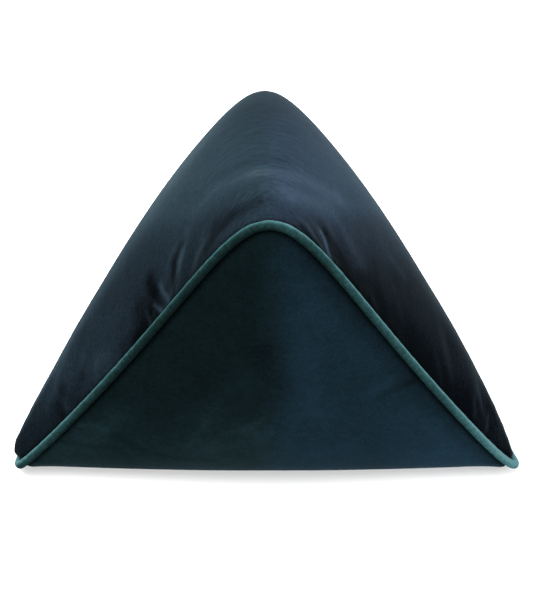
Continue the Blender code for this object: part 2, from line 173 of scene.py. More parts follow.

# Marks of painted light and shade, with some patches of the pile: painted shade in the
# hollows of folds and puckers, painted highlights on their ridges: 1 for the upper panel or
# 0 for the lower one, a change of tone, a half width, and a line near the cloth
MARK_END = 0.004          # a mark fades out over this length at its two ends
MARK_STEP = 0.004         # its line is laid on the cloth in steps of this length
PILE_LIGHT_AND_SHADE_MARKS = (
    # the arch over the peak, and what lies above and below it: painted light where the cloth
    #     # crowns behind the peak, painted shade where it falls to the seam
    (1, 0.08, 0.006, ((-0.057, -0.026, 0.267), (-0.039, -0.012, 0.285),
                      (-0.024, -0.012, 0.303), (0.001, -0.007, 0.314))),
    (1, 0.12, 0.010, ((-0.012, -0.012, 0.309), (0.001, -0.010, 0.316),
                      (0.021, -0.011, 0.312), (0.047, -0.010, 0.280),
                      (0.069, -0.013, 0.248))),
    (1, -0.05, 0.007, ((-0.045, 0.002, 0.266), (-0.022, 0.006, 0.290),
                       (0.004, 0.014, 0.295), (0.022, 0.010, 0.290))),
    (1, -0.20, 0.010, ((0.000, -0.045, 0.349), (-0.014, -0.050, 0.346),
                       (-0.028, -0.052, 0.331), (-0.045, -0.058, 0.308))),
    (1, -0.07, 0.014, ((-0.020, -0.035, 0.322), (-0.045, -0.045, 0.293),
                       (-0.058, -0.056, 0.280))),
    (1, 0.15, 0.014, ((0.012, -0.036, 0.337), (0.042, -0.037, 0.308),
                      (0.059, -0.033, 0.278))),
    # the right flank's pulls: painted shade in their hollows, painted highlights on their
    #     # ridges, and lighter patches of the pile
    (1, 0.10, 0.009, ((0.063, -0.045, 0.278), (0.073, -0.060, 0.268),
                      (0.082, -0.072, 0.256))),
    (1, -0.30, 0.0060, ((0.047, -0.058, 0.313), (0.053, -0.063, 0.306),
                        (0.058, -0.070, 0.300), (0.062, -0.078, 0.296),
                        (0.068, -0.086, 0.287))),
    (1, 0.55, 0.0026, ((0.045, -0.060, 0.318), (0.048, -0.067, 0.314),
                       (0.051, -0.076, 0.314), (0.054, -0.086, 0.311))),
    (1, 0.25, 0.0022, ((0.043, -0.076, 0.329), (0.046, -0.079, 0.324),
                       (0.050, -0.081, 0.318))),
    (1, -0.22, 0.0030, ((0.027, -0.068, 0.350), (0.033, -0.072, 0.345),
                        (0.039, -0.075, 0.338), (0.045, -0.080, 0.326))),
    (1, 0.16, 0.0026, ((0.032, -0.062, 0.341), (0.037, -0.068, 0.336),
                       (0.042, -0.074, 0.330))),
    (1, -0.16, 0.0026, ((0.038, -0.060, 0.330), (0.042, -0.067, 0.326),
                        (0.045, -0.072, 0.324))),
    (1, 0.06, 0.008, ((0.067, -0.078, 0.286), (0.077, -0.075, 0.268), (0.086, -0.069, 0.250))),
    (1, -0.06, 0.007, ((0.069, -0.090, 0.285), (0.079, -0.084, 0.266),
                       (0.090, -0.075, 0.244))),
    (1, -0.06, 0.006, ((0.091, -0.060, 0.234), (0.096, -0.084, 0.234),
                       (0.101, -0.102, 0.228))),
    (1, 0.08, 0.007, ((0.106, -0.040, 0.201), (0.123, -0.057, 0.180))),
    (1, 0.05, 0.005, ((0.110, -0.071, 0.207), (0.115, -0.092, 0.203),
                      (0.121, -0.109, 0.194))),
    (1, 0.12, 0.0035, ((0.192, -0.124, 0.082), (0.189, -0.141, 0.090),
                       (0.187, -0.159, 0.089))),
    (1, 0.22, 0.0030, ((0.204, -0.146, 0.063), (0.202, -0.157, 0.065),
                       (0.199, -0.165, 0.068))),
    (1, 0.12, 0.0080, ((0.212, -0.153, 0.053), (0.216, -0.161, 0.047),
                       (0.219, -0.167, 0.041))),
    # the left flank's folds beside the welt: painted shade in their hollows and painted
    #     # highlights on their ridges
    (1, -0.32, 0.0054, ((-0.068, -0.050, 0.262), (-0.071, -0.058, 0.258),
                        (-0.075, -0.066, 0.253), (-0.076, -0.080, 0.257),
                        (-0.076, -0.094, 0.260))),
    (1, 0.09, 0.0032, ((-0.065, -0.056, 0.272), (-0.068, -0.065, 0.269),
                       (-0.070, -0.075, 0.268), (-0.072, -0.087, 0.268),
                       (-0.073, -0.098, 0.266))),
    (1, 0.09, 0.0032, ((-0.073, -0.049, 0.251), (-0.077, -0.055, 0.245),
                       (-0.080, -0.064, 0.242), (-0.082, -0.071, 0.240))),
    (1, -0.28, 0.0065, ((-0.099, -0.067, 0.217), (-0.097, -0.077, 0.222),
                        (-0.093, -0.086, 0.228), (-0.087, -0.097, 0.235))),
    (1, -0.16, 0.012, ((-0.106, -0.085, 0.208), (-0.104, -0.097, 0.212),
                       (-0.102, -0.108, 0.215))),
    (1, -0.34, 0.0065, ((-0.096, -0.099, 0.222), (-0.092, -0.107, 0.231),
                        (-0.089, -0.112, 0.233))),
    (1, -0.30, 0.0085, ((-0.098, -0.113, 0.220), (-0.104, -0.117, 0.211),
                        (-0.109, -0.121, 0.202))),
    (1, 0.30, 0.0026, ((-0.089, -0.078, 0.233), (-0.084, -0.087, 0.238),
                       (-0.079, -0.102, 0.254))),
    (1, 0.42, 0.0024, ((-0.094, -0.094, 0.225), (-0.090, -0.100, 0.233),
                       (-0.084, -0.107, 0.242))),
    (1, 0.22, 0.0028, ((-0.101, -0.098, 0.217), (-0.098, -0.105, 0.220),
                       (-0.096, -0.111, 0.222))),
    (1, -0.13, 0.0060, ((-0.023, -0.055, 0.336), (-0.033, -0.061, 0.328),
                        (-0.043, -0.069, 0.316), (-0.050, -0.075, 0.304))),
    (1, 0.05, 0.0060, ((-0.047, -0.051, 0.299), (-0.054, -0.058, 0.291),
                       (-0.059, -0.066, 0.283))),
    (1, 0.06, 0.008, ((-0.155, -0.127, 0.133), (-0.133, -0.118, 0.165))),
    (1, -0.10, 0.006, ((-0.155, -0.092, 0.134), (-0.159, -0.106, 0.131),
                       (-0.160, -0.120, 0.129), (-0.163, -0.134, 0.123))),
    (1, 0.07, 0.004, ((-0.149, -0.114, 0.144), (-0.149, -0.125, 0.144),
                      (-0.147, -0.137, 0.143))),
    (1, -0.12, 0.007, ((-0.181, -0.129, 0.100), (-0.184, -0.138, 0.095),
                       (-0.185, -0.148, 0.093), (-0.180, -0.160, 0.094))),
    (1, 0.09, 0.004, ((-0.187, -0.133, 0.087), (-0.180, -0.146, 0.099),
                      (-0.172, -0.156, 0.105))),
    (1, 0.07, 0.005, ((-0.195, -0.131, 0.078), (-0.197, -0.145, 0.076))),
    (1, -0.10, 0.008, ((-0.109, -0.116, 0.204), (-0.117, -0.119, 0.192),
                       (-0.125, -0.122, 0.179))),
    # the front: painted shade and highlights of small wrinkles, and patches of the pile
    (0, -0.06, 0.012, ((-0.002, -0.137, 0.246), (0.004, -0.149, 0.214),
                       (0.013, -0.159, 0.186))),
    (0, 0.03, 0.012, ((0.036, -0.135, 0.235), (0.040, -0.155, 0.190),
                      (0.042, -0.170, 0.140))),
    (0, 0.07, 0.014, ((-0.125, -0.160, 0.130), (-0.146, -0.169, 0.100),
                      (-0.171, -0.178, 0.068))),
    (0, 0.06, 0.018, ((-0.057, -0.173, 0.124), (-0.026, -0.175, 0.131),
                      (0.009, -0.178, 0.125))),
    (0, 0.055, 0.018, ((-0.058, -0.183, 0.090), (-0.030, -0.181, 0.105),
                        (-0.002, -0.178, 0.118))),
    (0, 0.05, 0.014, ((-0.054, -0.170, 0.140), (-0.027, -0.163, 0.170),
                      (-0.012, -0.155, 0.205))),
    (0, 0.06, 0.0035, ((-0.170, -0.165, 0.100), (-0.154, -0.168, 0.105),
                       (-0.137, -0.173, 0.099))),
    (0, -0.05, 0.004, ((-0.183, -0.175, 0.076), (-0.161, -0.180, 0.075),
                       (-0.129, -0.182, 0.078))),
    (0, 0.04, 0.005, ((-0.050, -0.172, 0.133), (-0.059, -0.178, 0.112),
                      (-0.070, -0.183, 0.093))),
    (0, -0.05, 0.005, ((-0.035, -0.166, 0.158), (-0.027, -0.163, 0.170),
                       (-0.020, -0.160, 0.181))),
    (0, -0.05, 0.004, ((0.133, -0.140, 0.163), (0.118, -0.148, 0.162),
                       (0.099, -0.157, 0.155))),
    (0, 0.04, 0.004, ((0.110, -0.144, 0.172), (0.100, -0.151, 0.166),
                      (0.088, -0.157, 0.161))),
    (0, -0.05, 0.005, ((-0.136, -0.172, 0.098), (-0.116, -0.181, 0.081),
                       (-0.085, -0.187, 0.067), (-0.045, -0.189, 0.066))),
    (0, 0.05, 0.004, ((-0.035, -0.178, 0.118), (-0.017, -0.177, 0.127),
                      (-0.002, -0.173, 0.141))),
)

# Colours of the left and right flank, the lower panel's two halves and the welt at some
# tones, linear
LEFT_TONES = ((0.10, (0.0010, 0.0014, 0.0018)), (0.30, (0.0033, 0.0056, 0.0080)),
              (0.50, (0.0072, 0.0131, 0.0185)), (0.70, (0.0136, 0.0251, 0.0329)),
              (0.90, (0.0266, 0.0420, 0.0512)))
RIGHT_TONES = ((0.10, (0.0010, 0.0014, 0.0020)), (0.30, (0.0042, 0.0060, 0.0090)),
               (0.50, (0.0094, 0.0148, 0.0231)), (0.70, (0.0166, 0.0285, 0.0443)),
               (0.90, (0.0301, 0.0475, 0.0753)))
LOWER_LEFT_TONES = ((0.10, (0.0008, 0.0016, 0.0017)), (0.25, (0.0021, 0.0051, 0.0057)),
                    (0.33, (0.0033, 0.0080, 0.0093)), (0.45, (0.0056, 0.0140, 0.0172)),
                    (0.62, (0.0095, 0.0258, 0.0330)))
LOWER_RIGHT_TONES = ((0.10, (0.0009, 0.0016, 0.0021)), (0.25, (0.0023, 0.0051, 0.0070)),
                     (0.33, (0.0033, 0.0080, 0.0115)), (0.45, (0.0053, 0.0138, 0.0213)),
                     (0.62, (0.0083, 0.0253, 0.0425)))
WELT_TONES = ((0.00, (0.0007, 0.0016, 0.0016)), (0.35, (0.0038, 0.0102, 0.0102)),
              (0.60, (0.0111, 0.0336, 0.0354)), (0.85, (0.0310, 0.0858, 0.0920)),
              (1.00, (0.0635, 0.1445, 0.1550)))

# Patterns in the pile: how many there are to a metre, and how far they change the tone
SWIRL_ACROSS, SWIRL_ALONG = 200.0, 2.2    # from the peak outwards, and to a radian round it
SWIRL_TONE = 0.14
FIBRE_SCALE, FIBRE_TONE = 3.0, 0.48       # finer swirls, so many to one of those
FALL_ACROSS, FALL_ALONG = 110.0, 14.0     # down the flanks
FALL_TONE = 0.12
FLANK_FIBRE_SCALE, FLANK_FIBRE_TONE = 420.0, 0.26
LOWER_PATCH_SCALE, LOWER_PATCH_TONE = 70.0, 0.10
LOWER_FIBRE_SCALE, LOWER_FIBRE_TONE = 520.0, 0.20
CLOUD_SCALE, CLOUD_TONE = 22.0, 0.09
MOTTLE_SCALE, MOTTLE_TONE = 210.0, 0.11
GRAIN_SCALE, GRAIN_TONE = 900.0, 0.10
WEAR_SCALE, WEAR_TONE = 260.0, 0.40       # on the welt
# painted shade in the welt's rib grooves and painted light on their crests
RIB_SHADE = 0.05
CAST_CHANGE = 1.0                         # how far the mottle changes the colour's cast

# Detail and roughness of their noise
STREAK_NOISE = (3.0, 0.6)
CLOUD_NOISE = (3.0, 0.55)
MOTTLE_NOISE = (2.0, 0.6)
GRAIN_NOISE = (1.0, 0.5)
WEAR_NOISE = (3.0, 0.6)

# Surfaces
VELVET_ROUGHNESS, WELT_ROUGHNESS = 0.9, 0.8
VELVET_SHEEN_ROUGHNESS = 0.28
WELT_SHEEN, WELT_SHEEN_ROUGHNESS = 0.02, 0.3
WELT_SHEEN_COLOUR = (0.50, 0.95, 0.95)
GRAIN_BUMP = (0.35, 0.0004)               # strength and distance
RIB_BUMP = (0.3, 0.0002)
FLOOR_COLOUR, FLOOR_ROUGHNESS = (0.93, 0.93, 0.93), 0.9

# Stage
LOOK_AT = Vector((0.0015, -0.0475, 0.10))
SENSOR_HEIGHT = 36.0                      # millimetres
KEY_SIZE, KEY_PLACE = 1.5, (-0.5, 0.4, 2.6)
FILL_SIZE, FILL_PLACE = 1.4, (1.6, -1.6, 1.2)


# --- Settings -------------------------------------------------------------------

class PillowBodySettings(bpy.types.PropertyGroup):
    """Sizes and colours of the stuffed body"""
    voxel: FloatProperty(
        name="Remesh size", description="Cell size of the cloth before it is filled",
        default=0.0049, min=0.003, max=0.008, unit="LENGTH")
    pressure: FloatProperty(
        name="Filling pressure", description="How hard the filling pushes the cloth out",
        default=4.0, min=0.0, max=10.0)
    ease: FloatProperty(
        name="Ease", description="Extra cloth gathered beside the seam, as a share",
        default=0.10, min=0.0, max=0.3, subtype="FACTOR")
    swell: FloatProperty(
        name="Largest swell", description="No point of the cloth moves further than this",
        default=0.005, min=0.0, max=0.02, unit="LENGTH")
    clearance: FloatProperty(
        name="Clearance", description="Gap between the cloth and the welt",
        default=0.0004, min=0.0, max=0.002, unit="LENGTH")
    dye: FloatVectorProperty(
        name="Velvet dye", description="Multiplies every colour of the velvet",
        default=(1.0, 1.0, 1.0), min=0.0, max=4.0, subtype="COLOR")
    sheen: FloatProperty(
        name="Sheen", description="How much light the pile's tips catch at its edges",
        default=0.06, min=0.0, max=1.0, subtype="FACTOR")
    sheen_colour: FloatVectorProperty(
        name="Sheen colour", description="Colour of the light that the pile's tips catch",
        default=(0.62, 0.86, 1.0), min=0.0, max=1.0, subtype="COLOR")


class PillowWeltSettings(bpy.types.PropertyGroup):
    """Sizes and colours of the welt"""
    ring_gap: FloatProperty(
        name="Ring spacing", description="Distance from one ring of the tube to the next",
        default=0.0012, min=0.0005, max=0.005, unit="LENGTH")
    rib_pitch: FloatProperty(
        name="Rib pitch", description="Distance from one rib of the covering to the next",
        default=0.0012, min=0.0005, max=0.01, unit="LENGTH")
    slack: FloatProperty(
        name="Slack", description="How much thinner the covering is pulled in places",
        default=0.07, min=0.0, max=0.3, subtype="FACTOR")
    dye: FloatVectorProperty(
        name="Welt dye", description="Multiplies every colour of the welt",
        default=(1.0, 1.0, 1.0), min=0.0, max=4.0, subtype="COLOR")


class PillowStageSettings(bpy.types.PropertyGroup):
    """Camera, floor and lights"""
    elevation: FloatProperty(
        name="Elevation", description="Angle of the view above the floor",
        default=math.radians(71.78), min=0.0, max=math.radians(90.0), subtype="ANGLE")
    distance: FloatProperty(
        name="Distance", description="From the camera to the point that it looks at",
        default=2.0, min=0.5, max=10.0, unit="LENGTH")
    lens: FloatProperty(
        name="Lens", description="Focal length in millimetres, on a 36 mm high sensor",
        default=133.0, min=10.0, max=300.0)
    floor_size: FloatProperty(
        name="Floor size", description="Length of the floor's side",
        default=8.0, min=1.0, max=50.0, unit="LENGTH")
    ambient: FloatProperty(
        name="Ambient light", description="Strength of the light from all round",
        default=1.35, min=0.0, max=5.0)
    key_power: FloatProperty(
        name="Key light", description="Power of the large light above and behind",
        default=100.0, min=0.0, max=500.0, unit="POWER")
    fill_power: FloatProperty(
        name="Fill light", description="Power of the weaker light at the front right",
        default=10.0, min=0.0, max=500.0, unit="POWER")


# --- Mesh helpers ---------------------------------------------------------------

def merged_copy(node):
    """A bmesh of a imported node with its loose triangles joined."""
    joined = bmesh.new()
    joined.from_mesh(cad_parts[node].data)
    bmesh.ops.remove_doubles(joined, verts=joined.verts, dist=MERGE)
    joined.normal_update()
    return joined


def new_piece(name, mesh):
    piece = bpy.data.objects.new(name, mesh)
    bpy.context.scene.collection.objects.link(piece)
    return piece


def apply_modifiers(piece):
    depsgraph = bpy.context.evaluated_depsgraph_get()
    mesh = bpy.data.meshes.new_from_object(piece.evaluated_get(depsgraph))
    mesh.name = piece.name
    piece.modifiers.clear()
    piece.data = mesh


def coordinates(mesh):
    flat = np.empty(len(mesh.vertices) * 3)
    mesh.vertices.foreach_get("co", flat)
    return flat.reshape(-1, 3)


def set_coordinates(mesh, places):
    mesh.vertices.foreach_set("co", places.ravel())
    mesh.update()


def normals(mesh):
    flat = np.empty(len(mesh.vertices) * 3)
    mesh.vertices.foreach_get("normal", flat)
    return flat.reshape(-1, 3)


def shade_smooth(mesh):
    mesh.polygons.foreach_set("use_smooth", [True] * len(mesh.polygons))


def smoothstep(values, low, high):
    share = np.clip((values - low) / (high - low), 0.0, 1.0)
    return share * share * (3.0 - 2.0 * share)


def along_profile(way, profile):
    return np.interp(way, [stop[0] for stop in profile], [stop[1] for stop in profile])


def paint(mesh, name, values):
    """Stores one number for each vertex, for the materials to read."""
    layer = mesh.attributes.new(name, "FLOAT", "POINT")
    layer.data.foreach_set("value", values.astype(np.float32))


def smooth_places(mesh, places, weight, rounds):
    """Moves each vertex towards the mean of its neighbours, as far as its weight says."""
    flat = np.empty(len(mesh.edges) * 2, dtype=np.int64)
    mesh.edges.foreach_get("vertices", flat)
    first, second = flat.reshape(-1, 2).T
    count = np.bincount(flat, minlength=len(places))[:, None]
    for _ in range(rounds):
        total = np.zeros_like(places)
        np.add.at(total, first, places[second])
        np.add.at(total, second, places[first])
        places = places + weight[:, None] * (total / count - places)
    return places


# --- Welt -----------------------------------------------------------------------

def ring_centres():
    """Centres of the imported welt's rings, in order round the seam from the back corner."""
    tube = merged_copy(WELT_NODE)
    inner = [vertex.co - vertex.normal * WELT_RADIUS for vertex in tube.verts]
    tube.free()
    tree = KDTree(len(inner))
    for index, point in enumerate(inner):
        tree.insert(point, index)
    tree.balance()
    used, centres = set(), []
    for index, point in enumerate(inner):
        if index in used:
            continue
        near = [other for _, other, _ in tree.find_range(point, RING_REACH)]
        used.update(near)
        centres.append(sum((inner[other] for other in near), Vector()) / len(near))
    order = [max(range(len(centres)), key=lambda index: centres[index].y)]
    left = set(range(len(centres))) - set(order)
    while left:
        last = centres[order[-1]]
        order.append(min(left, key=lambda index: (centres[index] - last).length))
        left.remove(order[-1])
    return np.array([centres[index] for index in order])


def spline_point(corners, share):
    """Catmull-Rom point in the middle span of four corners."""
    before, start, end, after = corners
    return 0.5 * (2.0 * start + (end - before) * share
                  + (2.0 * before - 5.0 * start + 4.0 * end - after) * share ** 2
                  + (3.0 * start - before - 3.0 * end + after) * share ** 3)


def welt_path(spacing):
    """The welt's centre line as a closed smooth line of evenly spaced points."""
    rings = ring_centres()
    count = len(rings)
    fine = []
    for index in range(count):
        corners = [rings[(index + step) % count] for step in (-1, 0, 1, 2)]
        fine.extend(spline_point(corners, share) for share in np.arange(0.0, 1.0, SPLINE_STEP))
    fine = np.array(fine + fine[:1])
    travelled = np.concatenate(
        ([0.0], np.cumsum(np.linalg.norm(np.diff(fine, axis=0), axis=1))))
    steps = round(travelled[-1] / spacing)
    marks = np.linspace(0.0, travelled[-1], steps, endpoint=False)
    return np.column_stack([np.interp(marks, travelled, fine[:, axis]) for axis in range(3)])


def seam_tree(path):
    tree = KDTree(len(path))
    for index, point in enumerate(path):
        tree.insert(point, index)
    tree.balance()
    return tree


def from_seam(places, path):
    """Distance from each place to the welt's centre line, and the nearest point there."""
    tree = seam_tree(path)
    found = [tree.find(place) for place in places]
    return np.array([hit[2] for hit in found]), path[[hit[1] for hit in found]]


def unit(vectors):
    return vectors / np.linalg.norm(vectors, axis=-1, keepdims=True)


def towards_upper(path):
    """At each point of the welt, the way across it from the lower to the upper panel."""
    along = unit(np.roll(path, -1, axis=0) - np.roll(path, 1, axis=0))
    across = unit(np.cross(along, path - path.mean(axis=0)))
    return across * np.sign(across[np.argmax(path[:, 2]), 1])


def swept_tube(path, radii):
    """A closed round tube along a path, with one ring of vertices to a point."""
    curve = bpy.data.curves.new("welt_cord", "CURVE")
    curve.dimensions = "3D"
    curve.bevel_depth = WELT_RADIUS
    curve.bevel_resolution = WELT_SIDES // 2 - 2   # gives a ring this many sides
    spline = curve.splines.new("POLY")
    spline.points.add(len(path) - 1)
    for point, place, radius in zip(spline.points, path, radii):
        point.co = (*place, 1.0)
        point.radius = radius
    spline.use_cyclic_u = True
    line = new_piece("welt_cord", curve)
    depsgraph = bpy.context.evaluated_depsgraph_get()
    mesh = bpy.data.meshes.new_from_object(line.evaluated_get(depsgraph))
    bpy.data.objects.remove(line)
    return mesh


def make_welt(settings):
    path = welt_path(settings.ring_gap)
    count = len(path)
    turn = np.arange(count) * 2.0 * math.pi / count
    slack = sum(np.sin(turn * waves + shift) for waves, shift in SLACK_WAVES)
    slack = 0.5 + 0.5 * slack / len(SLACK_WAVES)
    mesh = swept_tube(path, 1.0 - settings.slack * slack)
    sides = len(mesh.vertices) // count
    offset = unit(coordinates(mesh) - np.repeat(path, sides, axis=0))
    across = np.repeat(towards_upper(path), sides, axis=0)
    paint(mesh, "along", np.repeat(np.arange(count) * settings.ring_gap, sides))
    # painted light and shade: the welt is lit on its upper side and lighter in places round
    # the loop
    tone = along_profile(np.sum(offset * across, axis=1), WELT_SHADE_ACROSS)
    paint(mesh, "tone", tone + np.repeat(along_profile(path[:, 0], WELT_PAINTED_LIGHT), sides))
    shade_smooth(mesh)
    piece = new_piece("velvet_welt", mesh)
    mesh.materials.clear()
    mesh.materials.append(welt_material(settings))
    return piece


# --- Body -----------------------------------------------------------------------

def stroke_weight(places, line, width, fade):
    """How strongly a soft stroke along a line is felt at each place, from 0 to 1."""
    corners = np.array(line)
    nearest = np.full(len(places), np.inf)
    travelled = np.zeros(len(places))
    start = 0.0
    for first, second in zip(corners[:-1], corners[1:]):
        run = second - first
        span = np.linalg.norm(run)
        share = np.clip((places - first) @ run / span ** 2, 0.0, 1.0)
        distance = np.linalg.norm(places - first - share[:, None] * run, axis=1)
        closer = distance < nearest
        nearest = np.where(closer, distance, nearest)
        travelled = np.where(closer, start + share * span, travelled)
        start += span
    from_end = np.minimum(travelled, start - travelled)
    return np.exp(-(nearest / width) ** 2) * smoothstep(from_end, -fade, fade)


def laid_on(cloth, line):
    """The line in short steps, each moved to the nearest point of the cloth."""
    corners = np.array(line)
    points = []
    for first, second in zip(corners[:-1], corners[1:]):
        steps = math.ceil(np.linalg.norm(second - first) / MARK_STEP)
        points.extend(first + (second - first) * step / steps for step in range(steps))
    points.append(corners[-1])
    return [cloth.find_nearest(point)[0] for point in points]


def press_creases(mesh):
    places = coordinates(mesh)
    outward = normals(mesh)
    for depth, width, line in CREASES:
        weight = stroke_weight(places, line, width, CREASE_END)
        places -= outward * (depth * weight)[:, None]
    set_coordinates(mesh, places)


def vertex_group(piece, name, weights):
    group = piece.vertex_groups.new(name=name)
    for index in np.nonzero(weights > 0.0)[0]:
        group.add([int(index)], float(weights[index]), "REPLACE")


def fill_with_stuffing(piece, settings, distance):
    """Inflates the cloth, which is held at the seam and a little too long beside it."""
    vertex_group(piece, "held", 1.0 - smoothstep(distance, *SEAM_PIN))
    vertex_group(piece, "eased", 1.0 - smoothstep(distance, *EASE_REACH))
    before = coordinates(piece.data)
    cloth = piece.modifiers.new("Filling", "CLOTH").settings
    cloth.quality = CLOTH_QUALITY
    cloth.use_pressure = True
    cloth.uniform_pressure_force = settings.pressure
    cloth.effector_weights.gravity = 0.0
    cloth.vertex_group_mass = "held"
    cloth.vertex_group_shrink = "eased"
    cloth.shrink_max = -settings.ease
    for step in range(1, CLOTH_FRAMES + 1):
        bpy.context.scene.frame_set(step)
    apply_modifiers(piece)
    bpy.context.scene.frame_set(1)
    piece.vertex_groups.clear()
    moved = coordinates(piece.data) - before
    moved = smooth_places(piece.data, moved, smoothstep(distance, *CALM_REACH), CALM_ROUNDS)
    length = np.linalg.norm(moved, axis=1)
    share = np.minimum(1.0, settings.swell / np.maximum(length, TINY))
    set_coordinates(piece.data, before + moved * share[:, None])


def fit_round_welt(mesh, path, gap):
    """Smooths the cloth beside the seam and keeps it clear of the welt and the floor."""
    places = coordinates(mesh)
    distance, _ = from_seam(places, path)
    weight = CHANNEL_WEIGHT * (1.0 - smoothstep(distance, WELT_RADIUS, CHANNEL_REACH))
    places = smooth_places(mesh, places, weight, CHANNEL_ROUNDS)
    distance, nearest = from_seam(places, path)
    keep = WELT_RADIUS + gap
    inside = distance < keep
    away = (places - nearest) / np.maximum(distance, TINY)[:, None]
    places[inside] = (nearest + away * keep)[inside]
    places[:, 2] = np.maximum(places[:, 2], 0.0)
    set_coordinates(mesh, places)


def make_body(settings, ring_gap):
    joined = merged_copy(BODY_NODE)
    mesh = bpy.data.meshes.new("velvet_body")
    joined.to_mesh(mesh)
    joined.free()
    piece = new_piece("velvet_body", mesh)
    remesh = piece.modifiers.new("Cells", "REMESH")
    remesh.mode = "VOXEL"
    remesh.voxel_size = settings.voxel
    apply_modifiers(piece)
    path = welt_path(ring_gap)
    distance, _ = from_seam(coordinates(piece.data), path)
    press_creases(piece.data)
    fill_with_stuffing(piece, settings, distance)
    finer = piece.modifiers.new("Finer", "SUBSURF")
    finer.levels = 1
    finer.render_levels = 1
    apply_modifiers(piece)
    fit_round_welt(piece.data, path, settings.clearance)
    paint_pile_and_shading(piece, path)
    shade_smooth(piece.data)
    piece.data.materials.clear()
    piece.data.materials.append(velvet_material(settings))
    return piece


# --- Tone of the pile, with painted sheen and shade -----------------------------

def upper_side(places, nearest):
    """1 on the upper panel and 0 on the lower one, by the seam's nearest points."""
    peak = nearest[np.argmax(nearest[:, 2])]
    back = nearest[np.argmax(nearest[:, 1])]
    half = np.linalg.norm(back - peak) / 2.0
    ridge = (back - peak) / (2.0 * half)
    rise = np.array([0.0, -ridge[2], ridge[1]])

    def level(points):
        """How far points lie above the saddle through the seam, as a share of the rise."""
        across = np.abs(points[:, 0]) / np.max(np.abs(nearest[:, 0]))
        along = np.abs((points - (peak + back) / 2.0) @ ridge) / half
        return (points - peak) @ rise / RISE - 0.5 * (along - across)

    return (level(places) > level(nearest)).astype(float)


def upper_sheen_tone(places, distance, right):
    """Painted sheen and shade of the upper panel, by how far each place lies up the cloth."""
    way = places @ np.array(SHEEN_WAY)
    # painted shade beside the seam, low on the flanks
    beside = (1.0 - smoothstep(distance, *SEAM_SHADE_REACH)) * (1.0 - smoothstep(way, *SEAM_SHADE_TOP))
    left_tone = along_profile(way, LEFT_FLANK_SHEEN) - LEFT_SEAM_SHADE * beside
    right_tone = along_profile(way, RIGHT_FLANK_SHEEN) - RIGHT_SEAM_SHADE * beside
    return left_tone + (right_tone - left_tone) * right


def rim_sheen(mesh, distance, right):
    """Painted sheen on the upper panel's steep outer rim, lighter on the left than the right.
    """
    rise = normals(mesh)[:, 2]
    steep = (1.0 - smoothstep(rise, *RIM_STEEPNESS)) * smoothstep(rise, *RIM_BACK)
    clear = smoothstep(distance, *RIM_REACH)
    return steep * clear * (LEFT_RIM_SHEEN + (RIGHT_RIM_SHEEN - LEFT_RIM_SHEEN) * right)


def lower_tone(places, distance):
    """Tone of the lower panel, from left to right and down to the floor; painted seam shade.
    """
    right = smoothstep(places[:, 0], *LOWER_MEET)
    foot = 1.0 - smoothstep(places[:, 2], *FOOT)
    beside = right * (1.0 - smoothstep(distance, *FRONT_SHADE_REACH))
    lift = along_profile(places[:, 0], FOOT_LIFT)
    tone = LOWER_LEFT + (LOWER_RIGHT - LOWER_LEFT) * right + lift * foot
    return tone - FRONT_SEAM_SHADE * beside


def paint_pile_and_shading(piece, path):
    """Stores what the velvet's material reads: panel, side, tone with its painted light
    and shade, swirl and flank.
    """
    mesh = piece.data
    places = coordinates(mesh)
    distance, nearest = from_seam(places, path)
    upper = upper_side(places, nearest)
    peak = path[np.argmax(path[:, 2])]
    back = path[np.argmax(path[:, 1])]
    ridge = unit(back - peak)
    offset = places - peak
    right = smoothstep(places[:, 0], *SIDES_MEET)
    above = upper_sheen_tone(places, distance, right) + rim_sheen(mesh, distance, right)
    tone = np.where(upper > 0.5, above, lower_tone(places, distance))
    cloth = BVHTree.FromObject(piece, bpy.context.evaluated_depsgraph_get())
    # painted shade in the hollows of folds, painted highlights on their ridges, and pile
    # patches
    for panel, change, width, line in PILE_LIGHT_AND_SHADE_MARKS:
        weight = stroke_weight(places, laid_on(cloth, line), width, MARK_END)
        tone += change * weight * (upper == panel)
    # painted shade where the cloth tucks in beside the welt
    tuck_shade = np.exp(-((distance - TUCK_SHADE_PLACE) / TUCK_SHADE_WIDTH) ** 2)
    tone *= 1.0 - tuck_shade * np.where(upper > 0.5, UPPER_TUCK_SHADE, LOWER_TUCK_SHADE)
    paint(mesh, "upper", upper)
    paint(mesh, "right", right)
    paint(mesh, "tone", tone)
    paint(mesh, "peak_distance", np.linalg.norm(offset, axis=1) * SWIRL_ACROSS)
    paint(mesh, "peak_turn", np.arctan2(offset[:, 0], offset @ ridge) * SWIRL_ALONG)
    paint(mesh, "flank", upper * smoothstep(np.abs(places[:, 0]), *FLANK_START))


# --- Materials ------------------------------------------------------------------

def new_material(name, colour, roughness):
    """A matt material, and its nodes, links and shader."""
    material = bpy.data.materials.new(name)
    material.use_nodes = True
    nodes = material.node_tree.nodes
    shader = nodes["Principled BSDF"]
    shader.inputs["Base Color"].default_value = (*colour, 1.0)
    shader.inputs["Roughness"].default_value = roughness
    shader.inputs["Metallic"].default_value = 0.0
    shader.inputs["Specular IOR Level"].default_value = 0.0
    material.diffuse_color = (*colour, 1.0)
    return material, nodes, material.node_tree.links, shader


def add_node(nodes, kind, **values):
    node = nodes.new("ShaderNode" + kind)
    for name, value in values.items():
        setattr(node, name, value)
    return node


def read_paint(nodes, name):
    """The number that paint() stored under this name."""
    return add_node(nodes, "Attribute", attribute_name=name).outputs["Fac"]


def calculate(nodes, links, operation, first, second):
    """A maths node on two inputs, each a socket or a number."""
    node = add_node(nodes, "Math", operation=operation)
    for socket, value in zip(node.inputs, (first, second)):
        if isinstance(value, float):
            socket.default_value = value
        else:
            links.new(value, socket)
    return node.outputs["Value"]


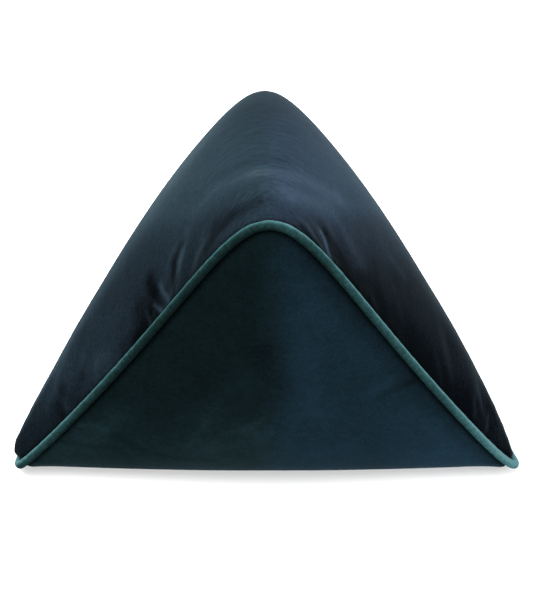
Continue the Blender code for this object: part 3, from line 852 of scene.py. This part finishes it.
def combine(nodes, links, *parts):
    node = add_node(nodes, "CombineXYZ")
    for socket, part in zip(node.inputs, parts):
        links.new(part, socket)
    return node.outputs["Vector"]


def noise(nodes, links, vector, scale, detail, roughness):
    """Noise round zero, from about -0.5 to 0.5."""
    node = add_node(nodes, "TexNoise")
    node.inputs["Scale"].default_value = scale
    node.inputs["Detail"].default_value = detail
    node.inputs["Roughness"].default_value = roughness
    links.new(vector, node.inputs["Vector"])
    return calculate(nodes, links, "SUBTRACT", node.outputs["Fac"], 0.5)


def colour_ramp(nodes, links, tone, stops, dye):
    """Colours along a tone from 0 to 1."""
    node = add_node(nodes, "ValToRGB")
    ramp = node.color_ramp
    while len(ramp.elements) < len(stops):
        ramp.elements.new(0.5)
    for element, (place, colour) in zip(ramp.elements, stops):
        element.position = place
        element.color = (*(part * share for part, share in zip(colour, dye)), 1.0)
    links.new(tone, node.inputs["Fac"])
    return node.outputs["Color"]


def mix_colours(nodes, links, share, first, second):
    node = add_node(nodes, "Mix", data_type="RGBA")
    links.new(share, node.inputs["Factor"])
    links.new(first, node.inputs["A"])
    links.new(second, node.inputs["B"])
    return node.outputs["Result"]


def stretched(nodes, links, vector, scale):
    node = add_node(nodes, "Mapping")
    node.inputs["Scale"].default_value = scale
    links.new(vector, node.inputs["Vector"])
    return node.outputs["Vector"]


def add_patterns(nodes, links, tone, patterns):
    """Adds each pattern to the tone, as strongly as its number says."""
    for pattern, strength in patterns:
        tone = calculate(nodes, links, "ADD", tone,
                         calculate(nodes, links, "MULTIPLY", pattern, strength))
    return tone


def add_bump(nodes, links, shader, height, strength, distance):
    bump = add_node(nodes, "Bump")
    bump.inputs["Strength"].default_value = strength
    bump.inputs["Distance"].default_value = distance
    links.new(height, bump.inputs["Height"])
    links.new(bump.outputs["Normal"], shader.inputs["Normal"])


def set_sheen(shader, weight, roughness, colour):
    shader.inputs["Sheen Weight"].default_value = weight
    shader.inputs["Sheen Roughness"].default_value = roughness
    shader.inputs["Sheen Tint"].default_value = (*colour, 1.0)


def velvet_material(settings):
    material, nodes, links, shader = new_material(
        "navy_velvet", LEFT_TONES[2][1], VELVET_ROUGHNESS)
    set_sheen(shader, settings.sheen, VELVET_SHEEN_ROUGHNESS, settings.sheen_colour)
    place = add_node(nodes, "TexCoord").outputs["Object"]
    upper = read_paint(nodes, "upper")
    flank = read_paint(nodes, "flank")
    swirl = combine(nodes, links, read_paint(nodes, "peak_distance"),
                    read_paint(nodes, "peak_turn"), upper)
    falling = stretched(nodes, links, place, (FALL_ACROSS, FALL_ALONG, FALL_ALONG))
    ridge = calculate(nodes, links, "SUBTRACT", upper, flank)
    front = calculate(nodes, links, "SUBTRACT", 1.0, upper)
    patterns = []
    for vector, scale, area, strength in (
            (swirl, 1.0, ridge, SWIRL_TONE),
            (swirl, FIBRE_SCALE, ridge, FIBRE_TONE),
            (falling, 1.0, flank, FALL_TONE),
            (place, FLANK_FIBRE_SCALE, flank, FLANK_FIBRE_TONE),
            (place, LOWER_PATCH_SCALE, front, LOWER_PATCH_TONE),
            (place, LOWER_FIBRE_SCALE, front, LOWER_FIBRE_TONE)):
        streak = noise(nodes, links, vector, scale, *STREAK_NOISE)
        patterns.append((calculate(nodes, links, "MULTIPLY", streak, area), strength))
    clouds = noise(nodes, links, place, CLOUD_SCALE, *CLOUD_NOISE)
    mottle = noise(nodes, links, place, MOTTLE_SCALE, *MOTTLE_NOISE)
    grain = noise(nodes, links, place, GRAIN_SCALE, *GRAIN_NOISE)
    patterns += [(clouds, CLOUD_TONE), (mottle, MOTTLE_TONE), (grain, GRAIN_TONE)]
    tone = add_patterns(nodes, links, read_paint(nodes, "tone"), patterns)
    left, right, lower_left, lower_right = (
        colour_ramp(nodes, links, tone, stops, settings.dye)
        for stops in (LEFT_TONES, RIGHT_TONES, LOWER_LEFT_TONES, LOWER_RIGHT_TONES))
    side = read_paint(nodes, "right")
    cast = add_patterns(nodes, links, side, ((mottle, CAST_CHANGE),))
    flanks = mix_colours(nodes, links, cast, left, right)
    lower = mix_colours(nodes, links, side, lower_left, lower_right)
    colour = mix_colours(nodes, links, upper, lower, flanks)
    links.new(colour, shader.inputs["Base Color"])
    add_bump(nodes, links, shader, grain, *GRAIN_BUMP)
    return material


def welt_material(settings):
    material, nodes, links, shader = new_material(
        "teal_welt_velvet", WELT_TONES[2][1], WELT_ROUGHNESS)
    set_sheen(shader, WELT_SHEEN, WELT_SHEEN_ROUGHNESS, WELT_SHEEN_COLOUR)
    place = add_node(nodes, "TexCoord").outputs["Object"]
    wear = noise(nodes, links, place, WEAR_SCALE, *WEAR_NOISE)
    turn = calculate(nodes, links, "MULTIPLY", read_paint(nodes, "along"),
                     2.0 * math.pi / settings.rib_pitch)
    ribs = calculate(nodes, links, "SINE", turn, 0.0)
    tone = add_patterns(nodes, links, read_paint(nodes, "tone"),
                        ((wear, WEAR_TONE), (ribs, RIB_SHADE)))
    colour = colour_ramp(nodes, links, tone, WELT_TONES, settings.dye)
    links.new(colour, shader.inputs["Base Color"])
    add_bump(nodes, links, shader, ribs, *RIB_BUMP)
    return material


# --- Stage ----------------------------------------------------------------------

def set_camera(settings):
    data = bpy.data.cameras.new("view")
    data.sensor_fit = "VERTICAL"
    data.sensor_height = SENSOR_HEIGHT
    data.lens = settings.lens
    camera = bpy.data.objects.new("view", data)
    direction = Vector((0.0, -math.cos(settings.elevation), math.sin(settings.elevation)))
    camera.location = LOOK_AT + direction * settings.distance
    camera.rotation_euler = (math.pi / 2.0 - settings.elevation, 0.0, 0.0)
    bpy.context.scene.collection.objects.link(camera)
    bpy.context.scene.camera = camera


def add_area_light(name, power, size, place):
    data = bpy.data.lights.new(name, "AREA")
    data.energy = power
    data.size = size
    light = bpy.data.objects.new(name, data)
    light.location = place
    light.rotation_euler = (LOOK_AT - Vector(place)).to_track_quat("-Z", "Y").to_euler()
    bpy.context.scene.collection.objects.link(light)


def make_floor(size):
    plane = bmesh.new()
    bmesh.ops.create_grid(plane, x_segments=1, y_segments=1, size=size / 2.0)
    mesh = bpy.data.meshes.new("floor")
    plane.to_mesh(mesh)
    plane.free()
    floor = new_piece("floor", mesh)
    mesh.materials.append(new_material("white_floor", FLOOR_COLOUR, FLOOR_ROUGHNESS)[0])
    return floor


# --- Operators ------------------------------------------------------------------

class PILLOW_OT_add_welt(bpy.types.Operator):
    """Makes the ribbed welt along the seam"""
    bl_idname = "pillow.add_welt"
    bl_label = "Add Welt"

    def execute(self, context):
        piece = make_welt(context.scene.pillow_welt)
        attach(piece, "root")
        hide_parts(WELT_NODE)
        return {"FINISHED"}


class PILLOW_OT_add_body(bpy.types.Operator):
    """Makes the stuffed velvet body and fits it round the welt"""
    bl_idname = "pillow.add_body"
    bl_label = "Add Body"

    def execute(self, context):
        piece = make_body(context.scene.pillow_body, context.scene.pillow_welt.ring_gap)
        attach(piece, "root")
        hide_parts(BODY_NODE)
        return {"FINISHED"}


class PILLOW_OT_set_stage(bpy.types.Operator):
    """Sets the camera, the floor and the lights"""
    bl_idname = "pillow.set_stage"
    bl_label = "Set Stage"

    def execute(self, context):
        settings = context.scene.pillow_stage
        set_camera(settings)
        make_floor(settings.floor_size)
        add_area_light("key", settings.key_power, KEY_SIZE, KEY_PLACE)
        add_area_light("fill", settings.fill_power, FILL_SIZE, FILL_PLACE)
        world = bpy.data.worlds.new("studio")
        world.use_nodes = True
        background = world.node_tree.nodes["Background"]
        background.inputs["Color"].default_value = (1.0, 1.0, 1.0, 1.0)
        background.inputs["Strength"].default_value = settings.ambient
        context.scene.world = world
        context.scene.view_settings.view_transform = "Standard"
        return {"FINISHED"}


class PILLOW_PT_sidebar(bpy.types.Panel):
    """Lists the pillow's sizes, colours and operators"""
    bl_idname = "PILLOW_PT_sidebar"
    bl_label = "Pyramid Pillow"
    bl_space_type = "VIEW_3D"
    bl_region_type = "UI"
    bl_category = "Pillow"

    def draw(self, context):
        groups = (
            (context.scene.pillow_welt, PILLOW_OT_add_welt),
            (context.scene.pillow_body, PILLOW_OT_add_body),
            (context.scene.pillow_stage, PILLOW_OT_set_stage),
        )
        for settings, operator in groups:
            box = self.layout.box()
            for name in settings.__annotations__:
                box.prop(settings, name)
            box.operator(operator.bl_idname)


CLASSES = (PillowBodySettings, PillowWeltSettings, PillowStageSettings,
           PILLOW_OT_add_welt, PILLOW_OT_add_body, PILLOW_OT_set_stage, PILLOW_PT_sidebar)


def register():
    for item in CLASSES:
        bpy.utils.register_class(item)
    bpy.types.Scene.pillow_body = PointerProperty(type=PillowBodySettings)
    bpy.types.Scene.pillow_welt = PointerProperty(type=PillowWeltSettings)
    bpy.types.Scene.pillow_stage = PointerProperty(type=PillowStageSettings)


def unregister():
    del bpy.types.Scene.pillow_stage
    del bpy.types.Scene.pillow_welt
    del bpy.types.Scene.pillow_body
    for item in reversed(CLASSES):
        bpy.utils.unregister_class(item)


def main():
    register()
    bpy.ops.pillow.set_stage()
    bpy.ops.pillow.add_welt()
    bpy.ops.pillow.add_body()


if __name__ == "__main__":
    main()
